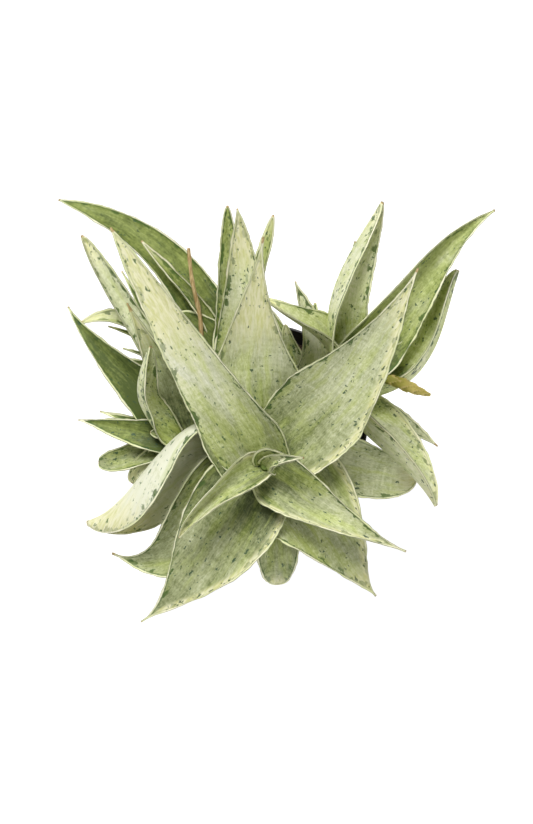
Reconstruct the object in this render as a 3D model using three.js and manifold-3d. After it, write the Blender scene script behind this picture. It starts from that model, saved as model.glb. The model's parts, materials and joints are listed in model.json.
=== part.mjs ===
// A potted Snow Drift aloe: a clump of pale, dark-flecked rosettes crowding a round plastic nursery pot.
// Units are millimetres and +Z is up. The origin is the middle of the pot's underside, and -Y is the front,
// where the largest rosette leans out over the rim.
import * as THREE from "three";
import { mergeVertices } from "three/addons/utils/BufferGeometryUtils.js";
import Module from "manifold-3d";

const wasm = await Module();
wasm.setup();

// Driving dimensions of the pot and its soil
const POT_HEIGHT = 90;
const RIM_RADIUS = 52.5;
const RIM_BAND = 11; // height of the wider band under the lip
const RIM_STEP = 2.4; // how far the band stands out from the wall below it
const LIP_ROUND = 0.8; // how much the lip's outer edge is rounded off
const BASE_RADIUS = 38;
const FOOT_BEVEL = 1.5;
const POT_WALL = 1.4;
const POT_FLOOR = 2;
const POT_SIDES = 40;
const DRAIN_HOLES = 8;
const DRAIN_RADIUS = 3.6;
const DRAIN_CIRCLE = 25; // radius of the circle that the drain holes stand on
const DRAIN_SIDES = 10;
const SOIL_TOP = 82;
const SOIL_RINGS = 6;
const SOIL_SIDES = 30;
const LUMP_HEIGHT = 1.1; // the soil's lumps, and finer ones half as high
const LUMP_WAVE = 3.4;
const FINE_WAVE = 1.2;

// Fit between pieces that touch
const CLEARANCE = 0.35;
const ROOT_DEPTH = 22; // how far a stem reaches down into the soil
const SMALLEST_FLAP = 0.08; // mesh detail under this size is dropped after a cut
const SAME_POINT = 1e-4; // mesh corners closer than this are one

// Driving dimensions of a leaf
const FEWEST_STATIONS = 5; // a leaf's length is built in at least this many steps,
const WIDTH_PER_STATION = 11; // and one more for each so many mm of its width
const SHOOT_SIDES = 8;
const STEM_SIDES = 12;
const STEM_TOP = 0.8; // how far a stem stands over its youngest leaf's seat
const ROOT_WIDTH_SHARE = 0.72; // the width where a leaf leaves its stem, as a share of its widest
const KEEL_SHARE = 0.115; // thickness at the keel, as a share of the width
const KEEL_THINNEST = 1.6;
const KEEL_TAPER = 0.62; // share of the keel's thickness that is lost by the tip
const MARGIN_THICKNESS = 1;
const TIP_HALF_WIDTH = 0.5;
const BELLY = 0.2; // where a leaf is widest, as a share of its length, where it names none
const STEEPEST_KEEL = 0.5; // cosine of the steepest inner half that the keel's clearance is widened for
const SHOULDER = 1.4; // how long it keeps that width, where it names no shoulder
const CURL = 8; // how much steeper the outer half of each wing rises, where it names no curl
const FOLD_AT_ROOT = 0.55; // a leaf opens out towards its root: share of its fold that is left there

const COLOURS = {
  pot: { color: 0x1c1a1b, roughness: 0.55 },
  soil: { color: 0x33261c, roughness: 0.95 },
  stem: { color: 0x9aa377, roughness: 0.8 },
  paleLeaf: { color: 0xc3cda4, roughness: 0.6 },
  greenLeaf: { color: 0x8fa465, roughness: 0.6 },
  dryLeaf: { color: 0xb08a5c, roughness: 0.85 },
};

const materials = Object.fromEntries(
  Object.entries(COLOURS).map(([name, look]) => {
    return [name, new THREE.MeshStandardMaterial({ ...look, metalness: 0 })];
  }),
);

// Each rosette grows on a stem from its foot in the soil to its crown, where the youngest leaves stand.
// A leaf is given by the seat of its root, in mm up the stem from the foot, and the place of its tip.
// belly is where it is widest, and shoulder is how long it keeps that width.
// taper is how fast it then narrows: about 1.2 is broad-shouldered, 2 is drawn out.
// fold is the rise of each half of the blade from flat, in degrees. Its inner part rises less by curl, and
// its outer part more.
// roll turns the blade about its midrib at its root, middle and tip, in degrees: a positive roll lifts its
// left half. arch and sway bend the midrib up and to the left, in mm, a third and two thirds along it.
const ROSETTES = {
  main: {
    foot: [1, -21, SOIL_TOP],
    crown: [1, -38, 131],
    stem: [8.5, 1.8],
    finish: "paleLeaf",
    leaves: [
      { seat: 45.5, tip: [19, -40, 150], width: 9, taper: 1.1, fold: 44, arch: [2, 3], sway: [3, 2] },
      {
        seat: 44, tip: [18, -38, 145], width: 15, shoulder: 1.2, taper: 1.15,
        fold: 40, arch: [2, 6], sway: [6, 0],
      },
      {
        seat: 42, tip: [-40, -69, 117], width: 22, belly: 0.25, shoulder: 1.3, taper: 0.75,
        fold: 64, arch: [6, 7], sway: [-6, -7], roll: [26, -10, 4],
      },
      {
        seat: 39.5, tip: [69, -72, 104], width: 30, belly: 0.15, taper: 1.5,
        fold: 33, arch: [6, 7], sway: [-5, -4], roll: [26, -7, -2],
      },
      {
        seat: 37, tip: [-69, 51, 207], width: 41, belly: 0.15, shoulder: 0.8, taper: 0.8,
        fold: 11, arch: [2, -1], sway: [2, 1], roll: [-27, -23, 4],
      },
      {
        seat: 34, tip: [71, 36, 195], width: 46, belly: 0.35, shoulder: 1.1, taper: 1.3,
        fold: 14, arch: [-6, 0], sway: [-7, -9], roll: [-14, 4, 0],
      },
      {
        seat: 31.5, tip: [-60, -99, 73], width: 47, belly: 0.25, shoulder: 2, taper: 1.85,
        fold: 12, arch: [11, 7], sway: [2, 11], roll: [-4, -1, 2],
      },
      {
        seat: 29, tip: [0, 50, 197], width: 62, belly: 0.25, shoulder: 1.1, taper: 1.55,
        fold: 17, arch: [-10, -7], sway: [8, 5], roll: [7, 3, -6],
      },
      {
        seat: 19.5, tip: [-86, -55, 91], width: 55, belly: 0.25, shoulder: 3.4, taper: 0.9,
        fold: 61, curl: 26, arch: [3, 6], sway: [-43, 3], roll: [16, -38, -87],
      },
      {
        seat: 27, tip: [56, -85, 69], width: 54, shoulder: 1.6, taper: 1.5,
        fold: 22, arch: [7, 10], sway: [11, 0], roll: [10, 0, 7],
      },
      {
        seat: 19.5, tip: [-75, -65, 76], width: 42, shoulder: 2.7, taper: 2.05,
        fold: 22, curl: 14, arch: [14, 14], sway: [-8, 36], roll: [-1, -7, -11],
      },
      {
        seat: 21, tip: [77, -24, 76], width: 31, shoulder: 2.2, taper: 0.55,
        fold: 15, arch: [13, 18], sway: [14, -8], roll: [0, -5, 3],
      },
      {
        seat: 18, tip: [7, -76, 57], width: 26, shoulder: 1.8, taper: 0.7,
        fold: 14, arch: [23, 28], sway: [5, 1], roll: [1, -4, -2],
      },
    ],
  },
  right: {
    foot: [30, 13, SOIL_TOP],
    crown: [44, 18, 118],
    stem: [5, 1.3],
    finish: "greenLeaf",
    leaves: [
      {
        seat: 33, tip: [58, 85, 163], width: 34, shoulder: 2.1, taper: 0.9,
        fold: 56, curl: 6, arch: [-7, -10], sway: [22, 5], roll: [-5, 35, 62],
      },
      {
        seat: 29, tip: [113, 87, 151], width: 35, shoulder: 1.5, taper: 1.15,
        fold: 37, curl: 14, arch: [3, 7], sway: [0, 12], roll: [12, 25, 16],
      },
      {
        seat: 26, tip: [1, 43, 146], width: 33, belly: 0.25, shoulder: 0.9, taper: 0.85,
        fold: 38, curl: 7, arch: [9, 13], sway: [-12, 6], roll: [5, 19, -3],
      },
      {
        seat: 22, tip: [86, -44, 89], width: 40, shoulder: 2.1, taper: 0.95,
        fold: 45, curl: 7, arch: [7, 16], sway: [-16, -4], roll: [-30, -30, -15],
      },
      {
        seat: 19, tip: [96, 67, 125], width: 43, shoulder: 0.8, taper: 0.6,
        fold: 64, curl: 12, arch: [3, 4], sway: [-37, -12], roll: [-2, -34, -53],
      },
      { seat: 16, tip: [45, 73, 145], width: 12, taper: 1.3, fold: 28, arch: [-2, -2], sway: [2, 2] },
      { seat: 14, tip: [88, -10, 80], width: 18, taper: 1.1, fold: 20, arch: [9, 10], sway: [-4, -3] },
      { seat: 12, tip: [80, 28, 110], width: 26, taper: 1.1, fold: 22, arch: [3, 4], sway: [-6, -5] },
      { seat: 11, tip: [69, -26, 99], width: 11, taper: 1, fold: 34, arch: [6, 7], sway: [-3, -4] },
    ],
  },
  back: {
    foot: [-14, 15, SOIL_TOP],
    crown: [-20, 19, 118],
    stem: [5, 1.3],
    finish: "greenLeaf",
    leaves: [
      {
        seat: 34, tip: [-12, 74, 179], width: 21, belly: 0.25, shoulder: 2, taper: 0.95,
        fold: 19, arch: [-4, -4], sway: [-10, -5], roll: [-7, 2, 14],
      },
      {
        seat: 31, tip: [-17, 82, 166], width: 14, shoulder: 1.5, taper: 0.5,
        fold: 22, arch: [-4, -4], sway: [-2, -1],
      },
      {
        seat: 29, tip: [5, 80, 160], width: 12, shoulder: 1.5, taper: 0.55,
        fold: 27, arch: [-3, -5], sway: [3, -2], roll: [1, -5, 3],
      },
      {
        seat: 27, tip: [-49, 41, 120], width: 36, shoulder: 1.3, taper: 0.5,
        fold: 23, arch: [5, 6], sway: [-1, -3], roll: [1, 0, -3],
      },
      {
        seat: 17, tip: [-59, 72, 148], width: 9, shoulder: 2.2, taper: 0.7,
        fold: 39, arch: [4, 4], sway: [-14, -4],
      },
      {
        seat: 20, tip: [-101, 98, 140], width: 25, shoulder: 1.7, taper: 0.85,
        fold: 20, arch: [9, 12], sway: [-23, -22], roll: [4, 4, -5],
      },
      {
        seat: 12, tip: [-91, 43, 113], width: 16, shoulder: 1.5, taper: 0.6,
        fold: 33, arch: [11, 24], sway: [17, -21], roll: [-1, -5, 7],
      },
    ],
  },
  left: {
    foot: [-32, -9, SOIL_TOP],
    crown: [-42, -16, 114],
    stem: [5, 1.3],
    finish: "greenLeaf",
    leaves: [
      {
        seat: 30, tip: [-53, 15, 152], width: 20, belly: 0.3, shoulder: 3.1, taper: 0.65,
        fold: 64, curl: 15, arch: [-4, 4], sway: [22, 11], roll: [-30, 72, 55],
      },
      {
        seat: 27, tip: [-65, 38, 150], width: 22, shoulder: 1.2, taper: 1.1,
        fold: 22, arch: [-4, -4], sway: [-4, -1],
      },
      { seat: 26, tip: [-55, -14, 112], width: 7, shoulder: 2.4, taper: 0.5, fold: 20, arch: [1, 1] },
      {
        seat: 23, tip: [-91, -5, 105], width: 18, shoulder: 1.3, taper: 1.1,
        fold: 24, arch: [5, 6], sway: [4, 0],
      },
      {
        seat: 21, tip: [-88, 74, 150], width: 15, belly: 0.25, shoulder: 2.7, taper: 0.5,
        fold: 42, arch: [-4, -3], sway: [-13, 2], roll: [6, 12, 44],
      },
      {
        seat: 18, tip: [-96, 47, 125], width: 29, shoulder: 1.1, taper: 1.1,
        fold: 24, arch: [3, 5], sway: [-4, 6],
      },
      {
        seat: 16, tip: [-82, -21, 87], width: 15, shoulder: 3.2, taper: 0.5,
        fold: 30, arch: [7, 10], sway: [1, 6], roll: [1, 4, -5],
      },
      {
        seat: 14, tip: [-65, -32, 87], width: 11, belly: 0.25, shoulder: 3.4, taper: 0.5,
        fold: 41, arch: [4, 12], sway: [-2, -4], roll: [2, 5, -5],
      },
      { seat: 11, tip: [-81, 2, 98], width: 10, taper: 1.1, fold: 26, arch: [3, 3] },
    ],
  },
};

// Young offsets: a short stem and a few small leaves that are one piece with it
const PUPS = {
  back_pup: {
    foot: [21, 18, SOIL_TOP],
    crown: [24, 20, 100],
    stem: [4.5, 3],
    finish: "greenLeaf",
    leaves: [
      {
        seat: 14, tip: [11, 40, 119], width: 9, belly: 0.25, shoulder: 2.7, taper: 0.5,
        fold: 30, arch: [-1, 1], sway: [3, 4], roll: [2, -15, -34],
      },
      {
        seat: 12, tip: [16, 56, 135], width: 21, shoulder: 1.5, taper: 1.15,
        fold: 24, arch: [5, 2], sway: [-8, -2], roll: [6, 6, -1],
      },
      { seat: 10, tip: [3, 50, 118], width: 9, taper: 1.1, fold: 26, arch: [3, 4] },
      { seat: 9, tip: [26, 53, 116], width: 6, shoulder: 2.2, taper: 0.5, fold: 20, arch: [2, 3] },
    ],
  },
  left_pup: {
    foot: [-33, 21, SOIL_TOP],
    crown: [-43, 27, 99],
    stem: [4, 2.5],
    finish: "greenLeaf",
    leaves: [
      { seat: 16, tip: [-70, 66, 125], width: 9, taper: 1.1, fold: 30, arch: [1, 2] },
      { seat: 14, tip: [-77, 42, 112], width: 8, taper: 1.1, fold: 30, arch: [3, 4], sway: [-3, -3] },
      { seat: 12, tip: [-70, 33, 105], width: 7, taper: 1.1, fold: 30, arch: [2, 3] },
      { seat: 10, tip: [-73, 28, 106], width: 9, taper: 1.1, fold: 30, arch: [2, 3], sway: [3, 3] },
    ],
  },
};

// Round shoots, each a row of points with the radius there: the dry flower stalk, and a new shoot in bud
const SHOOTS = {
  dry_stalk: {
    finish: "dryLeaf",
    path: [
      [-30, 30, 116, 1.1],
      [-31, 42, 126, 1.1],
      [-34.5, 55, 139, 1],
      [-36, 67, 150, 0.9],
    ],
  },
  bud_shoot: {
    finish: "dryLeaf",
    path: [
      [50, 14, 116, 1.6],
      [58, 10, 123, 2],
      [64, 7.5, 126, 2.6],
      [70, 5.5, 124.5, 2.8],
      [76, 4, 121.5, 2],
      [81.5, 3.5, 117.5, 0.8],
    ],
  },
};

// A rosette's own frame: its Z runs up the stem from the foot, and its X leans as little as it can.
function rosetteFrame({ foot, crown }) {
  const origin = new THREE.Vector3(...foot);
  const up = new THREE.Vector3(...crown).sub(origin).normalize();
  const back = up.clone().cross(new THREE.Vector3(1, 0, 0)).normalize();
  return new THREE.Matrix4().makeBasis(back.clone().cross(up), back, up).setPosition(origin);
}

// The midrib in the rosette's frame, as one cubic curve from the stem to the tip.
function midribOf(leaf, frame) {
  const root = new THREE.Vector3(0, 0, leaf.seat);
  const tip = new THREE.Vector3(...leaf.tip).applyMatrix4(frame.clone().invert());
  const chord = tip.clone().sub(root);
  const left = new THREE.Vector3(-chord.y, chord.x, 0).normalize();
  const rise = chord.clone().normalize().cross(left);
  const bent = (share, arch, sway) =>
    root.clone().addScaledVector(chord, share).addScaledVector(rise, arch).addScaledVector(left, sway);
  const [arch, sway] = [leaf.arch ?? [0, 0], leaf.sway ?? [0, 0]];
  return new THREE.CubicBezierCurve3(root, bent(1 / 3, arch[0], sway[0]), bent(2 / 3, arch[1], sway[1]), tip);
}

// Half the blade's width at a share u of its length, before any growth.
function halfWidthAt(leaf, u) {
  const belly = leaf.belly ?? BELLY;
  if (u < belly) {
    const swell = Math.sin((Math.PI / 2) * (u / belly));
    return (leaf.width / 2) * (ROOT_WIDTH_SHARE + (1 - ROOT_WIDTH_SHARE) * swell);
  }
  const past = (u - belly) / (1 - belly);
  const outline = Math.pow(1 - Math.pow(past, leaf.shoulder ?? SHOULDER), leaf.taper);
  return Math.max(TIP_HALF_WIDTH, (leaf.width / 2) * outline);
}

// One cross section of the blade, as points [across, up]: the upper face from left to right, then the lower
// face back to the left. Each half rises in two steps, and its thickness stands square to it. grow swells the
// blade all round, which makes the room that a neighbour keeps clear of.
function bladeSection(leaf, u, grow) {
  const openness = FOLD_AT_ROOT + (1 - FOLD_AT_ROOT) * Math.min(1, 2 * u);
  const fold = THREE.MathUtils.degToRad(leaf.fold * openness);
  const curl = THREE.MathUtils.degToRad(leaf.curl ?? CURL);
  const [inner, outer] = [fold - curl, fold + curl];
  const step = (halfWidthAt(leaf, u) + grow) / 2;
  const fullKeel = Math.max(KEEL_THINNEST, leaf.width * KEEL_SHARE);
  const keel = fullKeel * (1 - KEEL_TAPER * u);
  const margin = Math.min(MARGIN_THICKNESS, keel);
  const keelGrow = grow / Math.max(STEEPEST_KEEL, Math.cos(inner));
  const middle = [step * Math.cos(inner), step * Math.sin(inner)];
  const edge = [middle[0] + step * Math.cos(outer), middle[1] + step * Math.sin(outer)];
  const offset = ([x, y], slope, distance) => {
    return [x - distance * Math.sin(slope), y + distance * Math.cos(slope)];
  };
  const upper = [offset(edge, outer, grow), offset(middle, fold, grow), [0, keelGrow]];
  const lower = [
    [0, -keel - keelGrow],
    offset(middle, fold, -grow - (keel + margin) / 2),
    offset(edge, outer, -grow - margin),
  ];
  const mirror = ([x, y]) => [-x, y];
  return [
    ...upper,
    mirror(upper[1]),
    mirror(upper[0]),
    mirror(lower[2]),
    mirror(lower[1]),
    ...lower,
  ];
}

// A closed solid skinned over a row of sections, all with the same number of points, and capped at both ends.
function skin(sections) {
  const sides = sections[0].length;
  const positions = sections.flat().flatMap((point) => [point.x, point.y, point.z]);
  const index = [];
  for (let row = 0; row < sections.length - 1; row++)
    for (let i = 0; i < sides; i++) {
      const a = row * sides + i;
      const b = row * sides + ((i + 1) % sides);
      index.push(a, b, a + sides, b, b + sides, a + sides);
    }
  const last = (sections.length - 1) * sides;
  const half = sides / 2;
  for (let i = 0; i < half - 1; i++) {
    const [a, b, c, d] = [i, i + 1, sides - 1 - i, sides - 2 - i];
    index.push(a, c, b, b, c, d);
    index.push(last + a, last + b, last + c, last + b, last + d, last + c);
  }
  const geometry = new THREE.BufferGeometry();
  geometry.setAttribute("position", new THREE.Float32BufferAttribute(positions, 3));
  geometry.setIndex(index);
  return geometry;
}

function leafGeometry(leaf, frame, grow = 0) {
  const stations = FEWEST_STATIONS + Math.round(leaf.width / WIDTH_PER_STATION);
  const midrib = midribOf(leaf, frame);
  const [rootRoll, middleRoll, tipRoll] = leaf.roll ?? [0, 0, 0];
  const sections = [];
  for (let i = 0; i <= stations; i++) {
    const u = i / stations;
    const centre = midrib.getPointAt(u);
    const along = midrib.getTangentAt(u);
    const left = new THREE.Vector3(0, 0, 1).cross(along).normalize();
    const roll = rootRoll * (1 - u) * (1 - 2 * u) + middleRoll * 4 * u * (1 - u) + tipRoll * u * (2 * u - 1);
    left.applyAxisAngle(along, THREE.MathUtils.degToRad(roll));
    const up = along.clone().cross(left);
    const ends = i === 0 ? -grow : i === stations ? grow : 0;
    sections.push(
      bladeSection(leaf, u, grow).map(([across, rise]) =>
        centre.clone().addScaledVector(along, ends).addScaledVector(left, across).addScaledVector(up, rise),
      ),
    );
  }
  return skin(sections).applyMatrix4(frame);
}

function stemGeometry({ leaves, stem }, frame, grow = 0) {
  const height = leaves[0].seat + STEM_TOP;
  const [thick, thin] = stem;
  const length = height + ROOT_DEPTH + 2 * grow;
  const geometry = new THREE.CylinderGeometry(thin + grow, thick + grow, length, STEM_SIDES);
  geometry.rotateX(Math.PI / 2).translate(0, 0, (height - ROOT_DEPTH) / 2);
  return geometry.applyMatrix4(frame);
}

function shootGeometry({ path }, grow = 0) {
  const points = path.map(([x, y, z]) => new THREE.Vector3(x, y, z));
  const sections = path.map(([, , , radius], i) => {
    const next = points[Math.min(i + 1, path.length - 1)];
    const along = next.clone().sub(points[Math.max(i - 1, 0)]).normalize();
    const side = new THREE.Vector3(0, 0, 1).cross(along).normalize();
    const up = along.clone().cross(side);
    const ends = i === 0 ? -grow : i === path.length - 1 ? grow : 0;
    const centre = points[i].clone().addScaledVector(along, ends);
    return Array.from({ length: SHOOT_SIDES }, (_, k) => {
      const angle = ((k + 0.5) / SHOOT_SIDES) * 2 * Math.PI;
      const spoke = radius + grow;
      return centre
        .clone()
        .addScaledVector(side, spoke * Math.cos(angle))
        .addScaledVector(up, spoke * Math.sin(angle));
    });
  });
  return skin(sections);
}

// three.js geometry to a manifold solid, and back
function solidOf(geometry) {
  const bare = geometry.clone();
  bare.deleteAttribute("normal");
  bare.deleteAttribute("uv");
  const merged = mergeVertices(bare, SAME_POINT);
  return new wasm.Manifold(
    new wasm.Mesh({
      numProp: 3,
      vertProperties: new Float32Array(merged.attributes.position.array),
      triVerts: new Uint32Array(merged.index.array),
    }),
  );
}

function geometryOf(solid) {
  const mesh = solid.getMesh();
  const geometry = new THREE.BufferGeometry();
  geometry.setAttribute("position", new THREE.BufferAttribute(mesh.vertProperties, 3));
  geometry.setIndex(new THREE.BufferAttribute(mesh.triVerts, 1));
  geometry.computeVertexNormals();
  return geometry;
}

const largestPiece = (solid) => solid.decompose().reduce((a, b) => (b.volume() > a.volume() ? b : a));

// A piece gives way to every piece placed before it: it is cut back to a small gap round each one.
const placed = [];
function place(solid, room) {
  let cut = solid;
  for (const other of placed) cut = cut.subtract(other);
  placed.push(room);
  return largestPiece(largestPiece(cut).simplify(SMALLEST_FLAP));
}

function namedMesh(name, solid, finish) {
  const mesh = new THREE.Mesh(geometryOf(solid), materials[finish]);
  mesh.name = name;
  return mesh;
}

function potSolid() {
  const neck = RIM_RADIUS - RIM_STEP;
  const bandFoot = POT_HEIGHT - RIM_BAND;
  const inside = RIM_RADIUS - POT_WALL;
  const profile = [
    [0, 0],
    [BASE_RADIUS - FOOT_BEVEL, 0],
    [BASE_RADIUS, FOOT_BEVEL],
    [neck, bandFoot],
    [RIM_RADIUS - LIP_ROUND, bandFoot + LIP_ROUND],
    [RIM_RADIUS, POT_HEIGHT - LIP_ROUND],
    [RIM_RADIUS - LIP_ROUND, POT_HEIGHT],
    [inside, POT_HEIGHT],
    [inside - LIP_ROUND, bandFoot + RIM_STEP],
    [neck - POT_WALL, bandFoot],
    [BASE_RADIUS - POT_WALL, POT_FLOOR],
    [0, POT_FLOOR],
  ].map(([radius, height]) => new THREE.Vector2(radius, height));
  let pot = solidOf(new THREE.LatheGeometry(profile, POT_SIDES).rotateX(Math.PI / 2));
  for (let i = 0; i < DRAIN_HOLES; i++) {
    const angle = (i / DRAIN_HOLES) * 2 * Math.PI;
    const hole = new THREE.CylinderGeometry(DRAIN_RADIUS, DRAIN_RADIUS, 4 * POT_FLOOR, DRAIN_SIDES);
    hole.rotateX(Math.PI / 2);
    hole.translate(DRAIN_CIRCLE * Math.cos(angle), DRAIN_CIRCLE * Math.sin(angle), 0);
    pot = pot.subtract(solidOf(hole));
  }
  return pot;
}

function soilHeight(x, y) {
  const lump = Math.sin(x / LUMP_WAVE + 1) * Math.cos(y / LUMP_WAVE);
  const fine = Math.sin((y - x) / FINE_WAVE) / 2;
  return SOIL_TOP + LUMP_HEIGHT * (lump + fine);
}

// The soil fills the pot up into its band, with a lumpy top.
function soilSolid() {
  const neck = RIM_RADIUS - RIM_STEP - POT_WALL - CLEARANCE;
  const bandFoot = POT_HEIGHT - RIM_BAND - CLEARANCE;
  const profile = [
    [0, POT_FLOOR + CLEARANCE],
    [BASE_RADIUS - POT_WALL - CLEARANCE, POT_FLOOR + CLEARANCE],
    [neck, bandFoot],
  ].map(([radius, height]) => new THREE.Vector2(radius, height));
  for (let ring = 0; ring <= SOIL_RINGS; ring++)
    profile.push(new THREE.Vector2(neck * (1 - ring / SOIL_RINGS), SOIL_TOP));
  const geometry = new THREE.LatheGeometry(profile, SOIL_SIDES).rotateX(Math.PI / 2);
  const position = geometry.attributes.position;
  for (let i = 0; i < position.count; i++)
    if (position.getZ(i) > bandFoot + LUMP_HEIGHT)
      position.setZ(i, soilHeight(position.getX(i), position.getY(i)));
  return solidOf(geometry);
}

const aloe = new THREE.Group();
aloe.name = "snow_drift_aloe";

// The stems are placed first, so that every leaf gives way to them.
const frames = {};
for (const [name, rosette] of Object.entries(ROSETTES)) {
  frames[name] = rosetteFrame(rosette);
  const stem = solidOf(stemGeometry(rosette, frames[name]));
  const room = solidOf(stemGeometry(rosette, frames[name], CLEARANCE));
  aloe.add(namedMesh(`${name}_stem`, place(stem, room), "stem"));
}

for (const [name, rosette] of Object.entries(ROSETTES)) {
  const cluster = new THREE.Group();
  cluster.name = name;
  rosette.leaves.forEach((leaf, i) => {
    const number = String(i + 1).padStart(2, "0");
    const blade = solidOf(leafGeometry(leaf, frames[name]));
    const room = solidOf(leafGeometry(leaf, frames[name], CLEARANCE));
    cluster.add(namedMesh(`${name}_leaf_${number}`, place(blade, room), rosette.finish));
  });
  aloe.add(cluster);
}

for (const [name, pup] of Object.entries(PUPS)) {
  const frame = rosetteFrame(pup);
  const fuse = (grow) => {
    let whole = solidOf(stemGeometry(pup, frame, grow));
    for (const leaf of pup.leaves) whole = whole.add(solidOf(leafGeometry(leaf, frame, grow)));
    return whole;
  };
  aloe.add(namedMesh(name, place(fuse(0), fuse(CLEARANCE)), pup.finish));
}

for (const [name, shoot] of Object.entries(SHOOTS)) {
  const solid = solidOf(shootGeometry(shoot));
  const room = solidOf(shootGeometry(shoot, CLEARANCE));
  aloe.add(namedMesh(name, place(solid, room), shoot.finish));
}

aloe.add(namedMesh("pot", potSolid(), "pot"));
let soil = soilSolid();
for (const room of placed) soil = soil.subtract(room);
aloe.add(namedMesh("soil", largestPiece(soil), "soil"));

export default aloe;
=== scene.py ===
import json
import math

import bmesh
import bpy
import numpy as np
from mathutils import Matrix, Vector

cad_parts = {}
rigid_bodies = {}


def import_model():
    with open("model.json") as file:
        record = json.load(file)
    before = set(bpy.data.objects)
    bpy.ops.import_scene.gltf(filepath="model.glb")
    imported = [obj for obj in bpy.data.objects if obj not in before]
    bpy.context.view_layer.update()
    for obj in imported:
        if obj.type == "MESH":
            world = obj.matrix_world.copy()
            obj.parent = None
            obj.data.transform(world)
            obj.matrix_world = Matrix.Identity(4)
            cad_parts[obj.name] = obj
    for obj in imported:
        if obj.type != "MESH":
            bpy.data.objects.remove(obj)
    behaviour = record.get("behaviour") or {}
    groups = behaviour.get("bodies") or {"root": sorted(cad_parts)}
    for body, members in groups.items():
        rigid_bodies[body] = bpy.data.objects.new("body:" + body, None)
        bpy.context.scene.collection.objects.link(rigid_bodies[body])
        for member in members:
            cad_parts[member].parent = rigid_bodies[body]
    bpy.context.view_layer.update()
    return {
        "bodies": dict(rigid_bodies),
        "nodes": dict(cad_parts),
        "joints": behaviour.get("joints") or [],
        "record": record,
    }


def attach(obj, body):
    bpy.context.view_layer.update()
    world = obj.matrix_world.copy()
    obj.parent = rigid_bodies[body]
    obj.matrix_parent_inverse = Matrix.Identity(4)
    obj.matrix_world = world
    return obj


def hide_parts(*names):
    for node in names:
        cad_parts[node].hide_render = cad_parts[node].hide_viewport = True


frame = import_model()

# The nursery pot: a thin shell of black polypropylene, moulded in one shot, with a stepped band at its lip.
# It is turned up from its round foot, over the lip and down to the floor inside, and its drain holes are cut
# through last.
MM = 0.001           # sizes are in millimetres, and the frame is in metres
RIM_RADIUS = 52.5
RIM_BAND = 11
RIM_STEP = 2.4
POT_HEIGHT = 90
POT_WALL = 1.4
POT_FLOOR = 2
BASE_RADIUS = 38
FOOT_BEVEL = 1.5
LIP_ROUND = 0.8
DRAIN_HOLES = 8
DRAIN_RADIUS = 3.6
DRAIN_CIRCLE = 25
POT_SIDES = 128
DRAIN_SIDES = 32
STEP_RUN = 2.5       # the wall eases out to the band over this height, by STEP_EASE
STEP_EASE = 0.4
LIP_CORNER = 0.25
INNER_CORNER = 0.15
FLOOR_BEVEL = 1
DUST_FROM = 60       # dust lies on the wall from this height up


def linear(hex_colour):
    """A listed colour, such as C6CFAE, as the linear light that shaders work in."""
    channels = [int(hex_colour[i : i + 2], 16) / 255 for i in (0, 2, 4)]
    return (*((c / 12.92) if c < 0.04045 else ((c + 0.055) / 1.055) ** 2.4 for c in channels), 1)


class Value:
    """A number on its way through a shader. Arithmetic on it adds Math nodes."""

    def __init__(self, finish, socket):
        self.finish = finish
        self.socket = socket

    def math(self, operation, *numbers):
        return self.finish.node("Math", {"operation": operation}, dict(enumerate(numbers)))["Value"]

    def __add__(self, other):
        return self.math("ADD", self, other)

    def __radd__(self, other):
        return self.math("ADD", other, self)

    def __sub__(self, other):
        return self.math("SUBTRACT", self, other)

    def __rsub__(self, other):
        return self.math("SUBTRACT", other, self)

    def __mul__(self, other):
        return self.math("MULTIPLY", self, other)

    def __rmul__(self, other):
        return self.math("MULTIPLY", other, self)

    def __abs__(self):
        return self.math("ABSOLUTE", self)

    def below(self, other):
        return self.math("LESS_THAN", self, other)

    def larger(self, other):
        return self.math("MAXIMUM", self, other)

    def rise(self, low, high):
        """0 up to low and 1 from high on, with a soft way between."""
        sockets = {"Value": self, "From Min": low, "From Max": high}
        return self.finish.node("MapRange", {"interpolation_type": "SMOOTHSTEP"}, sockets)["Result"]

    def fall(self, low, high):
        return 1 - self.rise(low, high)


class Finish:
    """A material under construction, on one Principled shader."""

    def __init__(self, name, roughness, gloss):
        self.material = bpy.data.materials.new(name)
        self.material.use_nodes = True
        self.tree = self.material.node_tree
        self.shader = self.tree.nodes["Principled BSDF"]
        self.put("Roughness", roughness)
        self.put("Specular IOR Level", gloss)

    def fill(self, socket, value):
        if isinstance(value, Value):
            self.tree.links.new(value.socket, socket)
        else:
            socket.default_value = value

    def node(self, kind, settings, sockets):
        """Adds a node and returns its outputs by name. A ramp's stops are a setting, as (place, colour)."""
        made = self.tree.nodes.new("ShaderNode" + kind)
        for key, value in settings.items():
            if key != "stops":
                setattr(made, key, value)
                continue
            ramp = made.color_ramp.elements
            ramp.remove(ramp[0])
            ramp[0].position, ramp[0].color = value[0]
            for place, colour in value[1:]:
                ramp.new(place).color = colour
        for key, value in sockets.items():
            self.fill(made.inputs[key], value)
        return {out.name: Value(self, out) for out in made.outputs if out.enabled}

    def mix(self, share, first, second):
        sockets = {0: share, 6: first, 7: second}
        return self.node("Mix", {"data_type": "RGBA"}, sockets)["Result"]

    def noise(self, at, stretch, detail=2.0, roughness=0.5):
        """Cloudy noise from 0 to 1, with so many features to a metre along each axis, or to a UV unit."""
        where = self.node("Mapping", {"vector_type": "POINT"}, {"Vector": at, "Scale": stretch})["Vector"]
        sockets = {"Vector": where, "Scale": 1.0, "Detail": detail, "Roughness": roughness}
        return self.node("TexNoise", {}, sockets)["Fac"]

    def bump(self, height, distance, strength=1.0):
        sockets = {"Height": height, "Distance": distance, "Strength": strength}
        self.put("Normal", self.node("Bump", {}, sockets)["Normal"])

    def put(self, socket, value):
        self.fill(self.shader.inputs[socket], value)


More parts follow.
